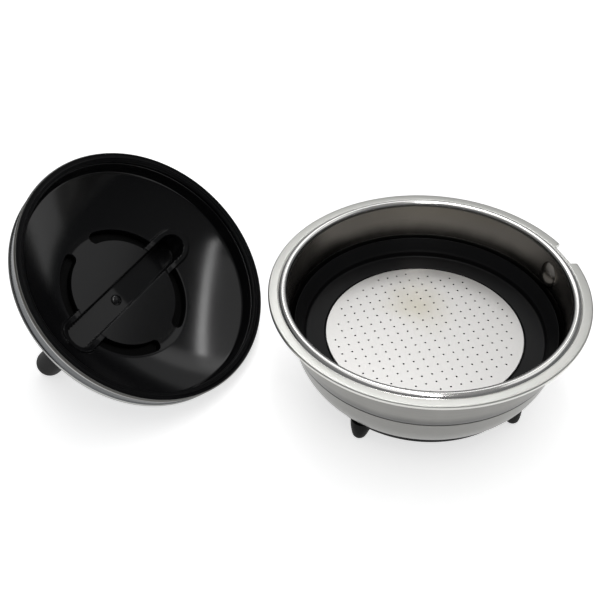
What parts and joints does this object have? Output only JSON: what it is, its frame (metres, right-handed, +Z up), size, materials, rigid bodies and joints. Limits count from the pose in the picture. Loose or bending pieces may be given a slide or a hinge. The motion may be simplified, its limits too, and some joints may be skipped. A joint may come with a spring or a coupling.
{
  "type": "coffee filter insert",
  "caption": "Flanged steel filter basket with perforated screen and black insert ring, with a separate black-lined collector dish on two outlet pegs.",
  "frame": {"origin": "middle of the object's footprint, on the table that both pieces rest on", "axes": "+Z up along the basket's axis, +X from the dish towards the basket, +Y away from the viewer"},
  "size_m": [0.1256, 0.0766, 0.0435],
  "materials": {
    "steel": "spun and brushed stainless steel, polished bead",
    "screen_steel": "pale satin perforated stainless steel",
    "gloss_black": "glossy black moulded plastic",
    "satin_black": "satin black moulded plastic",
    "rim_rubber": "semi-gloss black seal",
    "foot_rubber": "matte black rubber",
    "seal_rubber": "matte dark grey seal"
  },
  "bodies": {
    "basket": {"basket_shell": "steel", "jet_nozzle": "steel", "jet_seal": "seal_rubber", "base_cap": "satin_black", "foot_1": "foot_rubber", "foot_2": "foot_rubber", "foot_3": "foot_rubber", "foot_4": "foot_rubber"},
    "ring": {"insert_ring": "satin_black"},
    "disc": {"flow_disc": "satin_black", "disc_gasket": "seal_rubber"},
    "screen": {"filter_screen": "screen_steel"},
    "dish": {"dish_shell": "steel", "dish_liner": "gloss_black", "outlet_peg_1": "foot_rubber", "outlet_peg_2": "foot_rubber", "peg_seal_1": "seal_rubber", "peg_seal_2": "seal_rubber", "liner_stud": "steel", "stud_clip": "steel"},
    "rim": {"rim_seal": "rim_rubber"}
  },
  "joints": [
    {"name": "ring_lift", "type": "slide", "parent": "basket", "child": "ring", "axis": [0, 0, 1], "range_m": [0, 0.035]},
    {"name": "disc_turn", "type": "hinge", "parent": "ring", "child": "disc", "pos_m": [0.02783, -0.00327, 0.0076], "axis": [0, 0, 1], "range_deg": [0, 30]},
    {"name": "screen_lift", "type": "slide", "parent": "ring", "child": "screen", "axis": [0, 0, 1], "range_m": [0, 0.02]},
    {"name": "dish_lift", "type": "slide", "parent": "basket", "child": "dish", "axis": [0, 0, 1], "range_m": [0, 0.05]},
    {"name": "seal_lift", "type": "slide", "parent": "dish", "child": "rim", "axis": [0.567, -0.3195, 0.7593], "range_m": [0, 0.01]}
  ]
}
